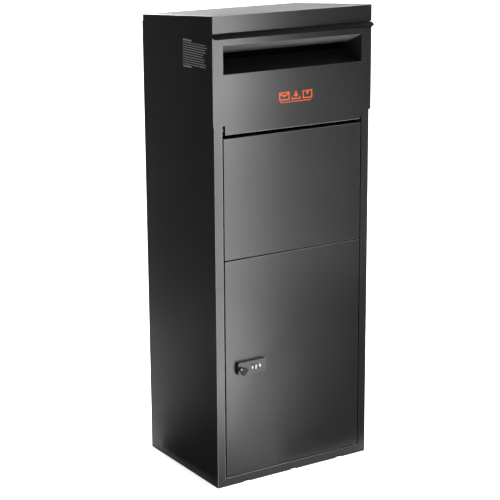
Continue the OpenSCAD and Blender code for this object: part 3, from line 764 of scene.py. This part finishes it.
class DROPBOX_OT_delivery_signs(bpy.types.Operator):
    """Print three plain delivery signs on the hopper: a letter, an arrow into a tray and a parcel"""

    bl_idname = "dropbox.delivery_signs"
    bl_label = "Delivery signs"

    def execute(self, context):
        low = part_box("hopper_front")[0]
        pivot = Vector(JOINT["hopper_tilt"]["pos_m"])
        tab_height = 2 * (pivot.z - low.z)
        self.unit = sizes().mark_width / SIGN_GRID
        self.line = 2.7 * self.unit
        self.bm = bmesh.new()
        right_of_middle = 4 * MM
        middle = Vector((right_of_middle, low.y, low.z + tab_height + sizes().mark_rise))
        step, drop = Vector((30 * self.unit, 0, 0)), Vector((0, 0, 13 * self.unit))
        self.letter(middle - step)
        self.arrow(middle)
        self.parcel(middle + step)
        self.rule(middle - drop)
        piece = new_piece("delivery_signs", to_mesh(self.bm, "delivery_signs"), "hopper")
        paint(piece, printed_ink("orange_screen_ink", colours().mark, 0.7 * MM, 0.4))
        return {"FINISHED"}

    def add(self, outline, at, inner=None):
        """Adds one printed shape, as a film of ink, with an optional hole."""
        across, up, film = Vector((1, 0, 0)), Vector((0, 0, 1)), 0.08 * MM
        if inner:
            ring_plate(self.bm, outline, inner, at, across, up, film)
        else:
            plate(self.bm, outline, at, across, up, film)

    def letter(self, at):
        """An envelope with its flap."""
        w, h, line = 13.5 * self.unit, 9 * self.unit, self.line
        self.add(rectangle(-w, w, -h, h), at, rectangle(-w + line, w - line, -h + line, h - line))
        dip = -h * 0.2
        self.add([(-w + line, h - line), (-w + line, h - line * 2.2), (0, dip), (w - line, h - line * 2.2),
                  (w - line, h - line), (0, dip + line * 1.5)], at)

    def arrow(self, at):
        """An arrow pointing down into an open tray."""
        u, line = self.unit, self.line
        shaft, head, w, h = 2.4 * u, 7 * u, 11.5 * u, 9 * u
        self.add([(shaft, h), (-shaft, h), (-shaft, 2 * u), (-head, 2 * u), (0, -5 * u), (head, 2 * u),
                  (shaft, 2 * u)], at)
        self.add([(w, -3 * u), (w - line, -3 * u), (w - line, -h + line), (-w + line, -h + line),
                  (-w + line, -3 * u), (-w, -3 * u), (-w, -h), (w, -h)], at)

    def parcel(self, at):
        """A parcel with a band of tape."""
        w, h, line = 12.5 * self.unit, 9 * self.unit, self.line
        self.add(rectangle(-w, w, -h, h), at, rectangle(-w + line, w - line, -h + line, h - line))
        self.add(rectangle(-line, line, 0, h - line), at)

    def rule(self, at):
        """A fine dashed rule under the signs."""
        dash, gap, thick = 5.2 * self.unit, 1.6 * self.unit, 1.1 * self.unit
        count = int(sizes().mark_width / (dash + gap))
        start = -(count * (dash + gap) - gap) / 2
        for i in range(count):
            x = start + i * (dash + gap)
            self.add(rectangle(x, x + dash, -thick, thick), at)


class DROPBOX_OT_side_label(bpy.types.Operator):
    """Stick a dark label with plain ruled dashes on the left side"""

    bl_idname = "dropbox.side_label"
    bl_label = "Side label"

    def execute(self, context):
        low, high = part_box("left_side_panel")
        width, height = sizes().label_width, sizes().label_height
        front_gap, top_gap = 12 * MM, 22 * MM
        start = Vector((low.x, low.y + front_gap + width, high.z - top_gap - height))
        across, up = Vector((0, -1, 0)), Vector((0, 0, 1))
        film, ink_film = 0.15 * MM, 0.05 * MM
        bm = bmesh.new()
        plate(bm, round_rectangle(0, width, 0, height, 3 * MM), start, across, up, film)
        sticker = new_piece("side_label", to_mesh(bm, "side_label"), "cabinet")
        paint(sticker, printed_ink("black_vinyl", colours().label, 1 * MM, 0.35))
        base = start + across.cross(up).normalized() * film
        pick = random.Random(11)
        margin, gap, rows, bold, fine = 7 * MM, 1.4 * MM, 12, 0.62, 0.30
        pitch = (height - 2 * margin) / (rows - 1)
        bm = bmesh.new()
        for row in range(rows):
            heading = row in (0, rows - 1)
            thick = pitch * (bold if heading else fine)
            room = (width - 2 * margin) * (0.34 if heading else pick.uniform(0.78, 1.0))
            x = 0.0
            while x < room:
                dash = min(pick.uniform(3, 9) * MM, room - x)
                y = margin + row * pitch - thick / 2
                plate(bm, rectangle(margin + x, margin + x + dash, y, y + thick), base, across, up, ink_film)
                x += dash + gap
        ink = new_piece("side_label_lines", to_mesh(bm, "side_label_lines"), "cabinet")
        paint(ink, printed_ink("grey_label_ink", colours().label_ink, 1 * MM, 0.5))
        return {"FINISHED"}


class DROPBOX_OT_stage(bpy.types.Operator):
    """Set the pale floor, the soft lights and the camera"""

    bl_idname = "dropbox.stage"
    bl_label = "Stage"

    def execute(self, context):
        self.floor()
        self.world()
        self.lights()
        self.flags()
        self.camera()
        bpy.context.scene.view_settings.view_transform = "Standard"
        return {"FINISHED"}

    def floor(self):
        """A sheet of paper that runs back from the floor up into a wall in one wide curve."""
        half, front, back, bend, top = 7.0, -6.0, 3.2, 1.2, 5.0
        profile = [(front, 0.0), (back - bend, 0.0)]
        profile += [(back - bend + bend * math.sin(a), bend - bend * math.cos(a))
                    for a in [math.radians(10 * i) for i in range(1, 10)]]
        profile.append((back, top))
        bm = bmesh.new()
        rows = [[bm.verts.new((x, y, z)) for x in (-half, half)] for y, z in profile]
        for a, b in zip(rows, rows[1:]):
            bm.faces.new([a[0], a[1], b[1], b[0]])
        paper = put("studio_paper", to_mesh(bm, "studio_paper"))
        paint(paper, paper_floor())

    def world(self):
        """A dim room that lights the piece a little, and an even pale wall where the paper ends."""
        world = bpy.data.worlds.new("studio_room")
        bpy.context.scene.world = world
        world.use_nodes = True
        tree = world.node_tree
        tree.nodes.clear()
        point = add_node(tree, "ShaderNodeTexCoord").outputs["Generated"]
        height = add_node(tree, "ShaderNodeSeparateXYZ", links={"Vector": point}).outputs["Z"]
        ramp = add_node(tree, "ShaderNodeValToRGB", links={"Fac": height})
        ramp.color_ramp.elements[0].position = 0.06
        ramp.color_ramp.elements[0].color = (0.03, 0.03, 0.03, 1)
        ramp.color_ramp.elements[1].position = 0.2
        ramp.color_ramp.elements[1].color = (0.002, 0.002, 0.002, 1)
        seen = add_node(tree, "ShaderNodeLightPath").outputs["Is Camera Ray"]
        sky = add_node(
            tree, "ShaderNodeMix", {"data_type": "RGBA"}, {"Factor": seen, MIX_A: ramp.outputs["Color"]},
            {MIX_B: (0.9, 0.9, 0.9, 1)}).outputs[MIXED]
        light = add_node(tree, "ShaderNodeBackground", links={"Color": sky}, inputs={"Strength": 1.0})
        add_node(tree, "ShaderNodeOutputWorld", links={"Surface": light.outputs["Background"]})

    def lights(self):
        """Slim strips whose reflections lie on the front's left part, and soft boxes over the paper."""
        self.area("near_strip", (-0.03, -0.45, 0.54), (-0.11, -0.15, 0.54), 0.06, 1.2, 1.5)
        self.area("left_strip", (0.02, -0.60, 0.51), (-0.13, -0.15, 0.51), 0.10, 1.2, 0.6)
        self.area("middle_strip", (0.14, -0.60, 0.51), (-0.07, -0.15, 0.51), 0.10, 1.2, 1.5)
        self.area("top_strip", (0.06, -0.60, 0.86), (-0.11, -0.15, 0.86), 0.10, 0.35, 0.6)
        self.area("low_strip", (0.06, -0.60, 0.10), (-0.11, -0.15, 0.10), 0.10, 0.30, 0.25)
        self.area("slot_strip", (0.2, -0.7, 0.15), (0.05, -0.15, 0.95), 0.4, 0.1, 0.9, 60)
        self.area("right_box", (2.6, -0.2, 2.8), (1.3, 0.3, 0.0), 2.0, 2.0, 150)
        self.area("wall_wash", (0.0, 1.2, 2.6), (0.0, 2.6, 0.3), 5.0, 0.6, 34)
        self.area("front_wash", (0.0, -3.6, 3.2), (0.0, -3.6, 0.0), 4.0, 2.0, 30, 80)
        self.area("back_box", (0.2, 1.9, 1.3), (0.0, 0.15, 0.5), 0.8, 1.2, 11, 70)
        self.area("overhead_box", (0.0, 0.6, 3.4), (0.0, 0.6, 0.0), 2.4, 1.6, 12)

    def area(self, name, at, aim, wide, tall, watts, spread=180):
        """A soft rectangular light at one point, aimed at another."""
        light = bpy.data.lights.new(name, "AREA")
        light.shape = "RECTANGLE"
        light.size, light.size_y, light.energy = wide, tall, watts
        light.spread = math.radians(spread)
        lamp = put(name, light)
        lamp.location = at
        lamp.rotation_euler = (Vector(aim) - Vector(at)).to_track_quat("-Z", "Y").to_euler()
        lamp.visible_camera = False

    def flags(self):
        """Black cards that only reflections see: they keep the left side and the front's right part dark."""
        bm = bmesh.new()
        foot, along = Vector((-0.75, 1.0, 0.01)), Vector((0.84, 0.53, 0))
        plate(bm, [(-1.6, 0), (0.2, 0), (0.26, 0.6), (0.26, 2.6), (-1.6, 2.6)],
              foot, along, Vector((0, 0, 1)), 0.01)
        across, up, lying = Vector((1, 0, 0)), Vector((0, 1, 0)), Vector((0, 0, 0.004))
        plate(bm, [(-1.4, -0.6), (-0.215, -0.6), (-0.215, 0.12), (-0.7, 1.08), (-1.4, 1.08)],
              lying, across, up, 0.002)
        plate(bm, [(0.0, -0.2), (3.2, -4.5), (4.6, -4.5), (4.6, -0.2)], lying, across, up, 0.002)
        cards = put("black_cards", to_mesh(bm, "black_cards"))
        velvet = {"Base Color": (0.004, 0.004, 0.004, 1), "Roughness": 1.0}
        paint(cards, new_material("black_velvet", velvet)[0])
        for way in ("camera", "diffuse", "shadow", "transmission", "volume_scatter"):
            setattr(cards, "visible_" + way, False)

    def camera(self):
        """A long lens from the front left, a little above the roof."""
        data = bpy.data.cameras.new("camera")
        data.lens = 112.1
        data.shift_y = -0.03
        camera = put("camera", data)
        camera.location = (-1.865, -2.891, 1.403)
        tilt, roll, turn = 90 - 14.39, 0.35, -32.66
        camera.rotation_euler = [math.radians(a) for a in (tilt, roll, turn)]
        data.clip_start, data.clip_end = 0.1, 50.0
        bpy.context.scene.camera = camera


class DROPBOX_PT_panel(bpy.types.Panel):
    """Lists the steps that build the drop box"""

    bl_idname = "DROPBOX_PT_panel"
    bl_label = "Parcel drop box"
    bl_space_type = "VIEW_3D"
    bl_region_type = "UI"
    bl_category = "Drop box"

    def draw(self, context):
        for step in STEPS:
            self.layout.operator(step.bl_idname)
        for group in (context.scene.drop_box_sizes, context.scene.drop_box_colours):
            column = self.layout.column(align=True)
            for key in group.__annotations__:
                column.prop(group, key)


STEPS = [
    DROPBOX_OT_stage,
    DROPBOX_OT_cabinet,
    DROPBOX_OT_roof,
    DROPBOX_OT_fixed_panel,
    DROPBOX_OT_hopper,
    DROPBOX_OT_door,
    DROPBOX_OT_lock,
    DROPBOX_OT_number_wheels,
    DROPBOX_OT_hardware,
    DROPBOX_OT_delivery_signs,
    DROPBOX_OT_side_label,
]
CLASSES = [DropBoxSizes, DropBoxColours, *STEPS, DROPBOX_PT_panel]


def register():
    """Registers the add-on's classes and gives the scene its sizes and colours."""
    for cls in CLASSES:
        bpy.utils.register_class(cls)
    bpy.types.Scene.drop_box_sizes = PointerProperty(type=DropBoxSizes)
    bpy.types.Scene.drop_box_colours = PointerProperty(type=DropBoxColours)


def unregister():
    """Takes back what register did."""
    del bpy.types.Scene.drop_box_colours
    del bpy.types.Scene.drop_box_sizes
    for cls in reversed(CLASSES):
        bpy.utils.unregister_class(cls)


def main():
    """Builds every piece."""
    register()
    for step in STEPS:
        family, name = step.bl_idname.split(".")
        getattr(getattr(bpy.ops, family), name)()


if __name__ == "__main__":
    main()
